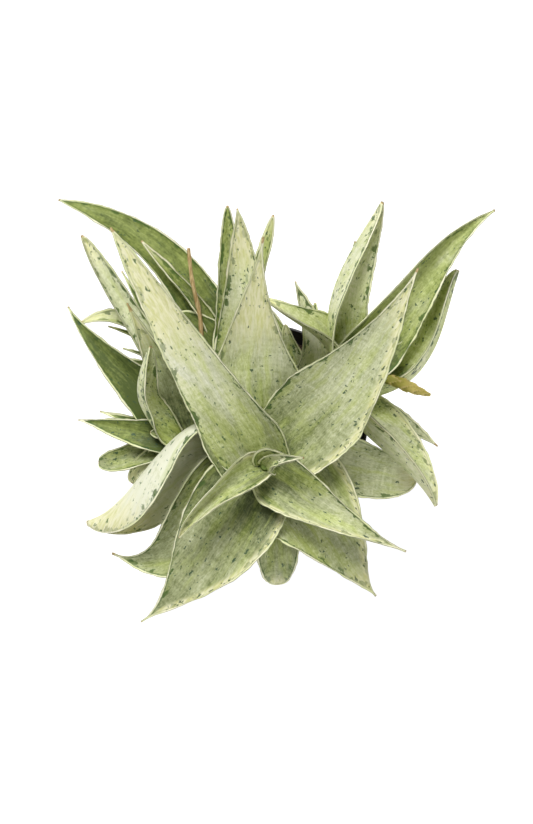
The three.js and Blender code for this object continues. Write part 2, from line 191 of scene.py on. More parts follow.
def deselect_all():
    for thing in bpy.context.selected_objects:
        thing.select_set(False)


def turned(name, profile, sides):
    """A solid of revolution: a disc at the profile's first (radius, height), drawn on ring by ring."""
    deselect_all()
    radius, height = profile[0]
    bpy.ops.mesh.primitive_circle_add(
        vertices=sides, radius=radius, fill_type="NGON", location=(0, 0, height)
    )
    made = bpy.context.object
    made.name = made.data.name = name
    bpy.ops.object.transform_apply()
    bpy.ops.object.mode_set(mode="EDIT")
    bpy.ops.mesh.select_all(action="SELECT")
    for next_radius, next_height in profile[1:]:
        bpy.ops.mesh.extrude_region_move(
            TRANSFORM_OT_translate={"value": (0, 0, next_height - height)}
        )
        if next_radius != radius:
            grown = next_radius / radius
            bpy.ops.transform.resize(value=(grown, grown, 1), center_override=(0, 0, next_height))
        radius, height = next_radius, next_height
    bpy.ops.mesh.select_all(action="SELECT")
    bpy.ops.mesh.normals_make_consistent(inside=False)
    bpy.ops.object.mode_set(mode="OBJECT")
    return made


def smooth(piece, degrees):
    deselect_all()
    piece.select_set(True)
    bpy.context.view_layer.objects.active = piece
    bpy.ops.object.shade_smooth_by_angle(angle=math.radians(degrees))


def apply_modifier(piece, kind, **settings):
    modifier = piece.modifiers.new(kind.lower(), kind)
    for key, value in settings.items():
        setattr(modifier, key, value)
    bpy.context.view_layer.objects.active = piece
    bpy.ops.object.modifier_apply(modifier=modifier.name)


def finish_piece(piece, material, slot, *nodes):
    """Gives a piece its material and the body it rides on, and hides any nodes that it stands for. Its slot
    is not used.
    """
    piece.data.materials.clear()
    piece.data.materials.append(material)
    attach(piece, "root")
    if nodes:
        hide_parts(*nodes)


neck = RIM_RADIUS - RIM_STEP
band_foot = POT_HEIGHT - RIM_BAND
inside = RIM_RADIUS - POT_WALL
pot_profile = [
    (BASE_RADIUS - FOOT_BEVEL, 0),
    (BASE_RADIUS - FOOT_BEVEL / 4, FOOT_BEVEL / 4),
    (BASE_RADIUS, FOOT_BEVEL),
    (neck - STEP_EASE, band_foot - STEP_RUN),
    (neck, band_foot),
    (RIM_RADIUS - LIP_ROUND, band_foot + LIP_ROUND / 2),
    (RIM_RADIUS - LIP_ROUND / 4, band_foot + LIP_ROUND),
    (RIM_RADIUS, POT_HEIGHT - LIP_ROUND),
    (RIM_RADIUS - LIP_CORNER, POT_HEIGHT - LIP_ROUND / 4),
    (RIM_RADIUS - LIP_ROUND, POT_HEIGHT),
    (inside + INNER_CORNER, POT_HEIGHT - INNER_CORNER),
    (inside, POT_HEIGHT - LIP_ROUND),
    (inside - LIP_ROUND, band_foot + RIM_STEP),
    (neck - POT_WALL, band_foot),
    (BASE_RADIUS - POT_WALL, POT_FLOOR + FLOOR_BEVEL),
    (BASE_RADIUS - POT_WALL - FLOOR_BEVEL, POT_FLOOR),
]
pot = turned("nursery_pot", [(radius * MM, height * MM) for radius, height in pot_profile], POT_SIDES)
drill = turned(
    "drain_drill",
    [(DRAIN_RADIUS * MM, -POT_FLOOR * MM), (DRAIN_RADIUS * MM, 2 * POT_FLOOR * MM)],
    DRAIN_SIDES,
)
for i in range(DRAIN_HOLES):
    angle = i / DRAIN_HOLES * 2 * math.pi
    drill.location = (
        DRAIN_CIRCLE * math.cos(angle) * MM,
        DRAIN_CIRCLE * math.sin(angle) * MM,
        0,
    )
    bpy.context.view_layer.update()
    apply_modifier(pot, "BOOLEAN", object=drill, operation="DIFFERENCE", solver="EXACT")
bpy.data.objects.remove(drill)
smooth(pot, degrees=40)

black_plastic = Finish("moulded_black_plastic", roughness=0.45, gloss=0.4)
on_pot = black_plastic.node("TexCoord", {}, {})["Object"]
pot_height = black_plastic.node("SeparateXYZ", {}, {"Vector": on_pot})["Z"]
pot_grain = black_plastic.noise(on_pot, (2500, 2500, 2500))
scuffs = black_plastic.noise(on_pot, (90, 90, 260), detail=6).rise(0.55, 0.8)
dust = black_plastic.noise(on_pot, (60, 60, 30), detail=5).rise(0.45, 0.75)
dust = dust * pot_height.rise(DUST_FROM * MM, POT_HEIGHT * MM)
plastic = black_plastic.mix(scuffs * 0.5, linear("1B1A1B"), linear("343231"))
plastic = black_plastic.mix(dust * 0.35, plastic, linear("5B4F43"))
black_plastic.put("Base Color", plastic)
black_plastic.put("Roughness", 0.42 + 0.2 * scuffs + 0.25 * dust)
black_plastic.bump(pot_grain + scuffs, 0.05 * MM, 0.6)
finish_piece(pot, black_plastic.material, "pot_plastic", "pot")

# The potting mix: damp peat and bark with a little grit and perlite, levelled by hand under the pot's lip.
# One body fills the pot, its top is lumpy, and crumbs, bark chips and grit lie on it.
SOIL_TOP = 82
SOIL_GAP = 0.4
SOIL_RINGS = 22
SOIL_SIDES = 96
FIRST_RING = 0.3     # how far in the top's first ring lies, in rings
SOIL_BEVEL = 2
SOIL_EASE = 0.5
SOIL_ROUND = 1
LUMP_SIZE = 7
LUMP_HEIGHT = 4
# Each kind of crumb: how many, from what size to what size, and how it is stretched.
CRUMBS = {
    "peat_crumb": (420, (0.7, 1.9), (1, 1, 0.8)),
    "bark_chip": (150, (1.2, 2.8), (1.5, 0.8, 0.35)),
    "grit": (70, (0.6, 1.3), (1, 0.9, 0.8)),
}
CRUMB_CIRCLE = 46
CRUMB_LIFT = 1.2
CRUMB_TIP = 0.7      # how far a crumb may lie tipped over, in radians

soil_edge = neck - POT_WALL - SOIL_GAP
soil_profile = [
    (BASE_RADIUS - POT_WALL - SOIL_BEVEL, POT_FLOOR + SOIL_GAP),
    (soil_edge - SOIL_EASE, band_foot - SOIL_BEVEL),
    (soil_edge, SOIL_TOP - SOIL_ROUND),
]
for ring in range(SOIL_RINGS):
    soil_profile.append((soil_edge * (1 - (ring + FIRST_RING) / (SOIL_RINGS + 1)), SOIL_TOP))
soil = turned(
    "potting_mix_body",
    [(radius * MM, height * MM) for radius, height in soil_profile],
    SOIL_SIDES,
)
lumps = bpy.data.textures.new("soil_lumps", "CLOUDS")
lumps.noise_scale = LUMP_SIZE * MM
lumps.noise_depth = 4
top_of_soil = soil.vertex_groups.new(name="top")
top_from = (SOIL_TOP - SOIL_ROUND / 2) * MM
top_of_soil.add([v.index for v in soil.data.vertices if v.co.z > top_from], 1, "REPLACE")
apply_modifier(
    soil,
    "DISPLACE",
    texture=lumps,
    strength=LUMP_HEIGHT * MM,
    mid_level=0.5,
    direction="Z",
    vertex_group="top",
)
smooth(soil, degrees=50)

scatter = np.random.default_rng(11)


def crumb_shape(name, stretch):
    """One crumb: a small ball, roughened point by point and flattened to its kind."""
    deselect_all()
    bpy.ops.mesh.primitive_ico_sphere_add(subdivisions=2, radius=1)
    made = bpy.context.object
    made.name = made.data.name = name
    rough = bpy.data.textures.new(name + "_faces", "VORONOI")
    rough.noise_scale = 0.9
    apply_modifier(made, "DISPLACE", texture=rough, strength=0.7, mid_level=0.5)
    made.scale = stretch
    bpy.ops.object.transform_apply()
    return made


def joined(name, pieces):
    deselect_all()
    for piece in pieces:
        piece.select_set(True)
    bpy.context.view_layer.objects.active = pieces[0]
    bpy.ops.object.join()
    pieces[0].name = pieces[0].data.name = name
    return pieces[0]


def scattered(kind, count, sizes, stretch):
    """Copies of one crumb, strewn over the soil at random sizes and turns, and joined into one piece."""
    first = crumb_shape(kind, stretch)
    copies = []
    for _ in range(count):
        copy = first.copy()
        copy.data = first.data.copy()
        bpy.context.collection.objects.link(copy)
        away = CRUMB_CIRCLE * math.sqrt(scatter.uniform(0, 1))
        bearing = scatter.uniform(0, 2 * math.pi)
        height = SOIL_TOP + scatter.uniform(0, CRUMB_LIFT)
        place = Vector((away * math.cos(bearing), away * math.sin(bearing), height))
        size = scatter.uniform(*sizes)
        turn = Matrix.Rotation(scatter.uniform(0, 2 * math.pi), 4, "Z")
        tip_over = Matrix.Rotation(scatter.uniform(-CRUMB_TIP, CRUMB_TIP), 4, "X")
        copy.data.transform(Matrix.Translation(place * MM) @ turn @ tip_over @ Matrix.Scale(size * MM, 4))
        copies.append(copy)
    bpy.data.objects.remove(first)
    return joined(kind, copies)


crumbs = {kind: scattered(kind, *rule) for kind, rule in CRUMBS.items()}


def earth(name, dark, light, size):
    made = Finish(name, roughness=0.92, gloss=0.25)
    here = made.node("TexCoord", {}, {})["Object"]
    grains = made.noise(here, (size, size, size), detail=5, roughness=0.7)
    made.put("Base Color", made.mix(grains.rise(0.35, 0.7), linear(dark), linear(light)))
    made.bump(grains, 0.5 * MM, 0.8)
    return made.material


finish_piece(soil, earth("damp_peat", "17100B", "4A3829", 900), "potting_mix", "soil")
crumb_looks = {
    "peat_crumb": earth("peat_crumbs", "20160F", "57432F", 1500),
    "bark_chip": earth("bark", "3A2618", "7B5B3E", 700),
    "grit": earth("perlite", "A9A294", "E4DFD2", 1800),
}
for kind, piece in crumbs.items():
    finish_piece(piece, crumb_looks[kind], "potting_mix")
    smooth(piece, degrees=30)

# The stems: short, thick and pale, ringed by the scars of shed leaves, with one stem to a rosette.
# Each is turned ring by ring and then leaned from its foot in the soil to its crown.
ROOT_DEPTH = 22
STEM_TOP = 0.8
SCAR_PITCH = 3.4
SCAR_DEPTH = 0.06
SCAR_SHAPE = ((0, 0), (0.15, 1), (0.8, 0.3))    # places along a ring, and the share of the scar's swell there
STEM_SIDES = 28
NECK_SHARE = 0.85
EARTHED = (2, 16)    # a stem is brown up to the first of these heights over the soil, and fades to the second
YOUNG = (119, 123)   # a stem's green top sets in between these heights
# Each rosette: its stem's foot and crown, the stem's radius at foot and top, and its height over the soil.
ROSETTES = {
    "main": {"foot": (1, -21, SOIL_TOP), "crown": (1, -38, 131), "stem": (8.5, 1.8), "height": 45.5},
    "right": {"foot": (30, 13, SOIL_TOP), "crown": (44, 18, 118), "stem": (5, 1.3), "height": 33},
    "back": {"foot": (-14, 15, SOIL_TOP), "crown": (-20, 19, 118), "stem": (5, 1.3), "height": 34},
    "left": {"foot": (-32, -9, SOIL_TOP), "crown": (-42, -16, 114), "stem": (5, 1.3), "height": 30},
    "back_pup": {"foot": (21, 18, SOIL_TOP), "crown": (24, 20, 100), "stem": (4.5, 3), "height": 14},
    "left_pup": {"foot": (-33, 21, SOIL_TOP), "crown": (-43, 27, 99), "stem": (4, 2.5), "height": 16},
}


def rosette_frame(rosette):
    """The rosette's own frame: Z up the stem from the foot, with X leaning as little as it can."""
    foot = Vector(rosette["foot"])
    up = (Vector(rosette["crown"]) - foot).normalized()
    back = up.cross(Vector((1, 0, 0))).normalized()
    across = back.cross(up)
    return Matrix.Translation(foot) @ Matrix((across, back, up)).transposed().to_4x4()


def ringed_stem(name, rosette):
    thick, thin = rosette["stem"]
    top = rosette["height"] + STEM_TOP
    length = top + ROOT_DEPTH
    scars = round(length / SCAR_PITCH)
    profile = []
    for i in range(scars):
        for part, swell in SCAR_SHAPE:
            up = (i + part) / scars
            radius = (thick + (thin - thick) * up) * (1 + swell * SCAR_DEPTH)
            profile.append((radius * MM, (up * length - ROOT_DEPTH) * MM))
    profile.append((thin * NECK_SHARE * MM, top * MM))
    stem = turned(name, profile, STEM_SIDES)
    place = rosette_frame(rosette)
    place.translation *= MM
    stem.data.transform(place)
    smooth(stem, degrees=60)
    return stem


def stem_skin():
    made = Finish("scarred_stem", roughness=0.75, gloss=0.3)
    here = made.node("TexCoord", {}, {})["Object"]
    patches = made.noise(here, (300, 300, 700), detail=5)
    colour = made.mix(patches.rise(0.35, 0.65), linear("7D8450"), linear("A89B72"))
    height = made.node("SeparateXYZ", {}, {"Vector": here})["Z"]
    low = height.fall(*((SOIL_TOP + over) * MM for over in EARTHED))
    colour = made.mix(low * 0.7, colour, linear("6B4F38"))
    young = height.rise(*(level * MM for level in YOUNG))
    made.put("Base Color", made.mix(young * 0.9, colour, linear("5E7430")))
    made.bump(patches, 0.3 * MM, 0.7)
    return made.material


stem_bark = stem_skin()
for rosette_name in ("main", "right", "back", "left"):
    stem = ringed_stem(rosette_name + "_stalk", ROSETTES[rosette_name])
    finish_piece(stem, stem_bark, "stem", rosette_name + "_stem")

# The leaf: a fleshy blade, keeled below and hollow above, with a horny cream margin.
# One flat blade is modelled. Each leaf is a copy that is narrowed, folded and laid along its own midrib.
ROOT_WIDTH_SHARE = 0.72
KEEL_SHARE = 0.115
KEEL_THINNEST = 1.6
KEEL_TAPER = 0.62
MARGIN_THICKNESS = 0.55
TIP_HALF_WIDTH = 0.3
BELLY = 0.2
SHOULDER = 1.4
CURL = 8
FOLD_AT_ROOT = 0.55
VALLEY = 0.07        # how wide the soft bottom of the fold is, as a share of half the blade
BEAD = 0.6           # width of the horny margin in mm
BEAD_SHARE = 0.3     # and the most that it takes of half a narrow blade
BEAD_FROM = 0.75     # the flat blade's outer quarter becomes the margin
BEAD_SWELL = 0.1
TOOTH_PITCH = 2.2
TOOTH_HEIGHT = 0.28
WAVE_PITCH = 7
WAVE_HEIGHT = 0.5
RIPPLE_LENGTH = 26
RIPPLE_HEIGHT = 0.5
RIPPLED_WIDTH = 30   # a leaf ripples in full from this width on
SMALL_LEAF = 16      # a leaf narrower than this takes the coarser blade
MARGIN_TAPER = 0.5
MARGIN_BULGE = 0.4   # how round the margin's outer face is, as a share of its thickness
USUAL_LOOK = 0.5     # green, flecks and silver of a leaf that doesn't name them
CREAM_FROM = 0.72    # a leaf turns creamy from here on to its tip, as a share of its length
CREAM_SPREAD = 0.3
BAND_REACH = 1.3     # a cream band has faded out at this many times its width
DRY_REACH = 1.4      # and a dry tip at this many times its length
BROWN_TIP = 0.3      # length of the dry brown point in mm
MIDRIB_STEPS = 200
PATTERN_UNIT = 10    # one unit of the blade's UV map in mm
PATTERN_FIELD = 50   # each leaf takes its pattern from its own place in a field of this many units
UNDERSIDE_SHIFT = 90


def flat_blade(name, stations, columns):
    """A flat blade, from root to tip along X and two units wide, with its upper face at 0 and lower at -1."""
    deselect_all()
    bpy.ops.mesh.primitive_grid_add(x_subdivisions=stations, y_subdivisions=columns, size=2)
    made = bpy.context.object
    made.name = made.data.name = name
    bpy.ops.object.mode_set(mode="EDIT")
    bpy.ops.mesh.select_all(action="SELECT")
    for _ in range(2):
        bpy.ops.mesh.extrude_region_move(TRANSFORM_OT_translate={"value": (0, 0, -0.5)})
    bpy.ops.mesh.select_all(action="SELECT")
    bpy.ops.mesh.normals_make_consistent(inside=False)
    bpy.ops.object.mode_set(mode="OBJECT")
    bpy.ops.object.shade_smooth()
    return made


broad_blade = flat_blade("broad_blade", stations=96, columns=24)
slim_blade = flat_blade("slim_blade", stations=52, columns=16)
chance = np.random.default_rng(5)
gauss_places, gauss_weights = np.polynomial.legendre.leggauss(8)
GAUSS = list(zip((gauss_places + 1) / 2, gauss_weights / 2))


def midrib_of(leaf, frame):
    """The four points of the cubic curve that the midrib follows, in the rosette's own frame."""
    root = Vector((0, 0, leaf["seat"]))
    tip = frame.inverted() @ Vector(leaf["tip"])
    chord = tip - root
    left = Vector((-chord.y, chord.x, 0)).normalized()
    rise = chord.normalized().cross(left)
    points = [root]
    for third, arch, sway in zip((1 / 3, 2 / 3), leaf.get("arch", (0, 0)), leaf.get("sway", (0, 0))):
        points.append(root + chord * third + rise * arch + left * sway)
    return np.array([*points, tip])


def along_midrib(points, shares):
    """Places and directions at these shares of the curve's length, and that length."""
    fine = np.linspace(0, 1, MIDRIB_STEPS + 1)

    def place(t):
        t = t[:, None]
        s = 1 - t
        return s**3 * points[0] + 3 * s * s * t * points[1] + 3 * s * t * t * points[2] + t**3 * points[3]

    steps = np.linalg.norm(np.diff(place(fine), axis=0), axis=1)
    reached = np.concatenate([[0], np.cumsum(steps)])
    t = np.interp(shares * reached[-1], reached, fine)[:, None]
    s = 1 - t
    first, second, third = np.diff(points, axis=0)
    towards = s * s * first + 2 * s * t * second + t * t * third
    towards /= np.linalg.norm(towards, axis=1)[:, None]
    return place(t[:, 0]), towards, reached[-1]


def half_width(leaf, u):
    belly = leaf.get("belly", BELLY)
    swell = np.sin(math.pi / 2 * np.minimum(1, u / belly))
    before = ROOT_WIDTH_SHARE + (1 - ROOT_WIDTH_SHARE) * swell
    past = np.clip((u - belly) / (1 - belly), 0, 1)
    after = (1 - past ** leaf.get("shoulder", SHOULDER)) ** leaf["taper"]
    return np.maximum(TIP_HALF_WIDTH, leaf["width"] / 2 * np.where(u < belly, before, after))


def uneven(u, length, pitch):
    """A random line from -1 to 1 along a margin, with a new value every so many mm."""
    knots = max(4, round(length / pitch))
    return np.interp(u * (knots - 1), np.arange(knots), chance.uniform(-1, 1, knots))


def on_each_side(u, side, length, pitch):
    """Such a line for the left margin and another for the right one."""
    return np.where(side > 0, uneven(u, length, pitch), uneven(u, length, pitch))


def grown_leaf(name, frame, leaf):
    """A copy of the flat blade in the leaf's own shape and place, with what its skin needs to know."""
    blade = slim_blade if leaf["width"] < SMALL_LEAF else broad_blade
    mesh = blade.data.copy()
    mesh.name = name
    flat = np.empty(len(mesh.vertices) * 3)
    mesh.vertices.foreach_get("co", flat)
    flat = flat.reshape(-1, 3)
    u = (flat[:, 0] + 1) / 2
    side = np.sign(flat[:, 1])
    t = np.abs(flat[:, 1])
    depth = -flat[:, 2]
    centre, along, length = along_midrib(midrib_of(leaf, frame), u)

    # The outline, with teeth and waves at the margin that fade over the tip's last sixth.
    half = half_width(leaf, u)
    for pitch, height in ((TOOTH_PITCH, TOOTH_HEIGHT), (WAVE_PITCH, WAVE_HEIGHT)):
        jags = on_each_side(u, side, length, pitch)
        half = half + height * jags * t**6 * np.minimum(1, 6 * (1 - u))
    bead = np.minimum(BEAD, BEAD_SHARE * half)
    inner = t / BEAD_FROM * (1 - bead / half)
    outer = 1 - bead / half * (1 - t) / (1 - BEAD_FROM)
    share = np.where(t < BEAD_FROM, inner, outer)
    # The cross section: folded at the midrib, curled to the margins, keeled below.
    fold = np.radians(leaf["fold"]) * (FOLD_AT_ROOT + (1 - FOLD_AT_ROOT) * np.minimum(1, 2 * u))
    curl = math.radians(leaf.get("curl", CURL))

    def slope(at):
        return (fold + curl * (4 * at - 2)) * (1 - np.exp(-at / VALLEY))

    across = half * share * sum(weight * np.cos(slope(share * at)) for at, weight in GAUSS)
    rise = half * share * sum(weight * np.sin(slope(share * at)) for at, weight in GAUSS)
    keel = max(KEEL_THINNEST, leaf["width"] * KEEL_SHARE) * (1 - KEEL_TAPER * u)
    margin = np.minimum(MARGIN_THICKNESS, keel) * (1 - MARGIN_TAPER * u**4)
    thickness = margin + (keel - margin) * (1 - share)
    swell = BEAD_SWELL * np.sin(math.pi * np.clip((1 - t) / (1 - BEAD_FROM), 0, 1))
    lift = swell * (1 - 2 * depth) - thickness * depth
    across -= lift * np.sin(slope(share))
    rise += lift * np.cos(slope(share))
    at_rim = t > 0.999
    bulge = MARGIN_BULGE * margin * (1 - np.abs(2 * depth - 1)) * at_rim
    across += bulge * np.cos(slope(share))
    rise += bulge * np.sin(slope(share))
    ripples = RIPPLE_HEIGHT * on_each_side(u, side, length, RIPPLE_LENGTH) * share**2
    rise += ripples * np.minimum(1, leaf["width"] / RIPPLED_WIDTH) * np.sin(math.pi * u)

    # The blade, laid along its midrib with its roll at root, middle and tip.
    root_roll, middle_roll, tip_roll = leaf.get("roll", (0, 0, 0))
    roll = np.radians(
        root_roll * (1 - u) * (1 - 2 * u) + middle_roll * 4 * u * (1 - u) + tip_roll * u * (2 * u - 1)
    )[:, None]
    level = np.cross((0, 0, 1), along)
    level /= np.linalg.norm(level, axis=1)[:, None]
    left = level * np.cos(roll) + np.cross(along, level) * np.sin(roll)
    up = np.cross(along, left)
    placed = centre + left * (side * across)[:, None] + up * rise[:, None]
    mesh.vertices.foreach_set("co", placed.ravel())
    mesh.transform(Matrix.Scale(MM, 4) @ frame)

    # What the skin reads: places on the blade in mm, and the leaf's own look.
    at_margin = (1 - share) * half
    cream_from = leaf.get("cream", CREAM_FROM)
    creamy = np.clip((u - cream_from) / CREAM_SPREAD, 0, 1)
    left_band, right_band = leaf.get("bands", (0, 0))
    band = np.where(side > 0, left_band, right_band)
    creamy = np.maximum(creamy, np.clip(BAND_REACH - at_margin / np.maximum(band, 0.01), 0, 1))
    to_tip = (1 - u) * length
    brown = np.clip(DRY_REACH - to_tip / leaf.get("brown", BROWN_TIP), 0, 1)
    skin = {
        "place": (u, at_margin, depth),
        "look": [np.full_like(u, leaf.get(key, USUAL_LOOK)) for key in ("green", "flecks", "silver")],
        "tint": (creamy, brown, side * share),
    }
    for attribute, columns in skin.items():
        mesh.attributes.new(attribute, "FLOAT_VECTOR", "POINT").data.foreach_set(
            "vector", np.column_stack(columns).ravel()
        )
    corner = np.empty(len(mesh.loops), int)
    mesh.loops.foreach_get("vertex_index", corner)
    grain = np.column_stack([u * length, side * share * half + UNDERSIDE_SHIFT * depth])
    grain = grain / PATTERN_UNIT + chance.uniform(0, PATTERN_FIELD, 2)
    uv = mesh.uv_layers.active
    uv.name = "blade"
    uv.data.foreach_set("uv", grain[corner].ravel())
    made = bpy.data.objects.new(name, mesh)
    bpy.context.collection.objects.link(made)
    return made


def leaf_skin():
    """Waxy celadon skin: streaked and clouded along the blade, flecked dark green, creamier to the tip, with
    painted shade towards the root and on the margin's side wall.
    """
    made = Finish("waxy_leaf", roughness=0.55, gloss=0.35)

    def told(attribute):
        vector = made.node("Attribute", {"attribute_name": attribute}, {})["Vector"]
        parts = made.node("SeparateXYZ", {}, {"Vector": vector})
        return parts["X"], parts["Y"], parts["Z"]

    along, edge, under = told("place")
    green, flecked, silver = told("look")
    creamy, brown, across = told("tint")
    blade = made.node("UVMap", {"uv_map": "blade"}, {})["UV"]

    def moved(scale, reach, detail=2.0):
        """The blade's places, shifted by noise, so that lines on them wander."""
        shift = made.node("TexNoise", {}, {"Vector": blade, "Scale": scale, "Detail": detail})["Color"]
        shift = made.node("VectorMath", {"operation": "SCALE"}, {0: shift, "Scale": reach})["Vector"]
        return made.node("VectorMath", {"operation": "ADD"}, {0: blade, 1: shift})["Vector"]

    bent = moved(0.6, 0.35)
    streaks = made.noise(bent, (0.45, 4.5, 1), detail=6, roughness=0.62)
    lines = made.noise(bent, (1.8, 9, 1), detail=3, roughness=0.6)
    grain = made.noise(blade, (6, 13, 1), detail=4, roughness=0.7)
    cross = made.noise(blade, (4, 1.4, 1), detail=4)
    clouds = made.noise(blade, (0.5, 0.9, 1), detail=3)
    patches = made.noise(bent, (0.4, 1.6, 1), detail=4)
    tone = green * (1 - 0.45 * under) + 0.5 * (streaks - 0.5) + 0.5 * (clouds - 0.5)
    mottle = 0.85 * (grain - 0.5) + 0.5 * (cross - 0.5)
    tone = tone + 0.3 * (lines - 0.5) + mottle * (1 - 0.5 * green.rise(0.5, 1))
    # Painted shade: each leaf is darker and greener towards its root, partly its own deeper green there and
    # partly shade from the leaves crowded round it.
    greener_and_shaded_root = along.fall(0.05, 0.5)
    tone = tone + 0.4 * greener_and_shaded_root
    olive_tones = [
        (0.0, linear("E8E8C6")),
        (0.25, linear("D0D69F")),
        (0.5, linear("AFB973")),
        (0.75, linear("85914B")),
        (1.0, linear("4F5D28")),
    ]
    silver_tones = [
        (0.0, linear("E5E6CE")),
        (0.25, linear("CED2AC")),
        (0.5, linear("ABB185")),
        (0.75, linear("80885A")),
        (1.0, linear("4C5631")),
    ]
    olive = made.node("ValToRGB", {"stops": olive_tones}, {"Fac": tone})["Color"]
    silvery = made.node("ValToRGB", {"stops": silver_tones}, {"Fac": tone})["Color"]
    colour = made.mix((silver + 2.4 * (patches - 0.5)).rise(0.2, 0.8), olive, silvery)
    fresh = made.noise(bent, (0.3, 2.4, 1), detail=3).rise(0.53, 0.68) * (1 - creamy) * green.fall(0.5, 0.9)
    colour = made.mix(fresh * 0.35, colour, linear("B4C063"))
    cream = (creamy + 0.8 * (streaks - 0.5) + 0.5 * (grain - 0.5)).rise(0.2, 0.9)
    cream_tones = made.mix(lines.rise(0.35, 0.65), linear("EDEAC4"), linear("D8D796"))
    colour = made.mix(cream * 0.85, colour, cream_tones)

    ragged = moved(9.0, 0.22, detail=3.0)
    crowd = made.noise(blade, (0.8, 1.4, 1), detail=2).rise(0.46, 0.64) + 0.9 * edge.fall(1, 3.5)
    density = flecked * (0.05 + 0.44 * crowd) * (1 + 0.6 * under)

    def flecks(cells, size, odds, distance="EUCLIDEAN", **sockets):
        """Ragged marks, one in some of the cells that lie so many to a unit along and across the blade."""
        where = made.node("Mapping", {}, {"Vector": ragged, "Scale": cells})["Vector"]
        settings = {"voronoi_dimensions": "2D", "distance": distance}
        cell = made.node("TexVoronoi", settings, {"Vector": where, "Scale": 1.0, **sockets})
        lot = made.node("SeparateColor", {}, {"Color": cell["Color"]})
        reach = size * (0.3 + 0.7 * lot["Green"])
        return cell["Distance"].fall(0.5 * reach, reach) * lot["Red"].below(odds)

    star_density = flecked.rise(0.5, 1) * (0.05 + 0.5 * under)
    stars = flecks((1.4, 2, 1), 0.55, star_density, distance="MINKOWSKI", Exponent=0.6)
    marks = flecks((1.3, 3.6, 1), 0.28, density).larger(flecks((2.6, 8, 1), 0.32, density))
    marks = marks.larger(flecks((5, 2.6, 1), 0.27, 0.6 * density)).larger(stars)
    sunken = made.noise(bent, (1.6, 7, 1), detail=3).rise(0.58, 0.7) * crowd.rise(0.1, 0.8)
    colour = made.mix(sunken * 0.5 * flecked, colour, linear("768A70"))
    mark_tones = made.mix(green.rise(0.0, 0.4), linear("587440"), linear("334E36"))
    colour = made.mix(marks * 0.9, colour, mark_tones)

    blotches = made.noise(blade, (1.5, 2.5, 1), detail=4)
    spread = 0.95 + 1.7 * blotches.rise(0.53, 0.63) * green.fall(0.5, 1)
    rim_line = edge.fall(1.0 * spread, 1.6 * spread) * (0.5 + 0.5 * blotches.rise(0.46, 0.6))
    colour = made.mix(rim_line * 0.9 * (1 - 0.6 * creamy), colour, linear("4C652C"))
    rim_width = 0.4 + 0.36 * lines.rise(0.3, 0.7)
    rim_tones = made.mix(clouds.rise(0.4, 0.6), linear("E2E6B2"), linear("F6F3D4"))
    colour = made.mix(edge.fall(0.75 * rim_width, 1.2 * rim_width) * 0.95, colour, rim_tones)
    # Painted shade: the margin's side wall, between upper and lower face, is darkened to olive, a thin dark
    # line outside the pale rim.
    wall = 4 * under * (1 - under)
    colour = made.mix(wall * 0.65, colour, linear("75834A"))
    dried = (brown + 0.5 * (grain - 0.5)).rise(0.35, 0.7)
    colour = made.mix(dried * 0.8, colour, linear("BC9C60"))
    made.put("Base Color", colour)
    made.put("Roughness", 0.5 + 0.2 * streaks - 0.1 * marks)
    ribs = abs(across).fall(0.0, 0.05)
    folds = made.noise(bent, (0.3, 0.9, 1), detail=2)
    wrinkles = 2.5 * folds + streaks + 0.6 * lines + 0.5 * grain + 0.2 * cross - 0.15 * ribs
    made.bump(wrinkles, 0.5 * MM, 0.8)
    return made.material


waxy_leaf = leaf_skin()


def dress_rosette(rosette_name, slot, leaves):
    rosette = ROSETTES[rosette_name]
    place = rosette_frame(rosette)
    for number, leaf in enumerate(leaves, 1):
        made = grown_leaf(f"{rosette_name}_blade_{number:02d}", place, leaf)
        finish_piece(made, waxy_leaf, slot, f"{rosette_name}_leaf_{number:02d}")


